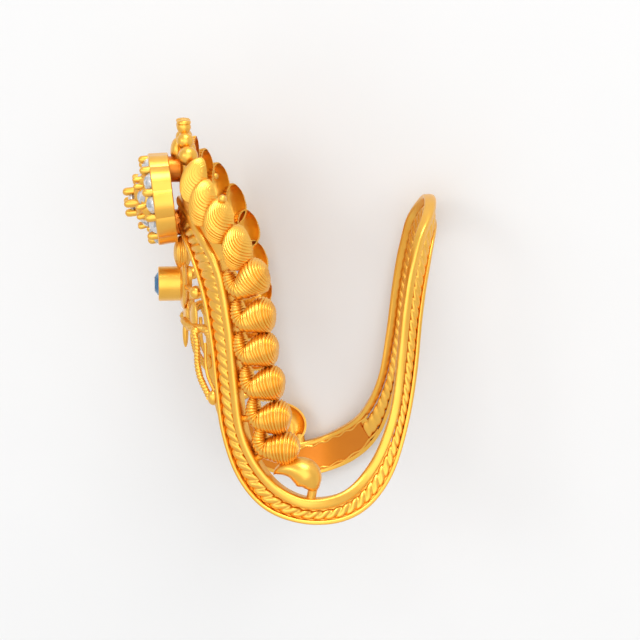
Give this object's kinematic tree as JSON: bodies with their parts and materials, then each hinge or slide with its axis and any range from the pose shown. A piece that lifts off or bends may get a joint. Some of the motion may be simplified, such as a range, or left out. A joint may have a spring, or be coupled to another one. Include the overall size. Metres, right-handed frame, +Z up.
{
  "type": "chevron finger ring",
  "caption": "Gold chevron finger ring: a roped hoop that peaks in front and dips at the sides, with a shell crest, a stone-set flower, a bezel-set blue stone and beads.",
  "frame": {"origin": "on the surface that the ring lies on, under the middle of its box as it rests on its right side", "axes": "+Z up from the surface, which is roughly the ring's left; +Y along the finger towards the fingertip and the peaks, about 7 degrees nose down; -X roughly the front, with the flower and the bezel"},
  "size_m": [0.0222, 0.0308, 0.0192],
  "materials": {
    "gold": "polished yellow gold of high purity",
    "clear_stone": "faceted and polished",
    "blue_stone": "faceted and polished"
  },
  "bodies": {
    "root": {"gold_ring_body": "gold", "outer_stone_1": "clear_stone", "outer_stone_2": "clear_stone", "outer_stone_3": "clear_stone", "outer_stone_4": "clear_stone", "outer_stone_5": "clear_stone", "outer_stone_6": "clear_stone", "outer_stone_7": "clear_stone", "outer_stone_8": "clear_stone", "outer_stone_9": "clear_stone", "outer_stone_10": "clear_stone", "inner_stone_1": "clear_stone", "inner_stone_2": "clear_stone", "inner_stone_3": "clear_stone", "inner_stone_4": "clear_stone", "inner_stone_5": "clear_stone", "centre_stone": "clear_stone", "blue_stone": "blue_stone"}
  },
  "joints": []
}
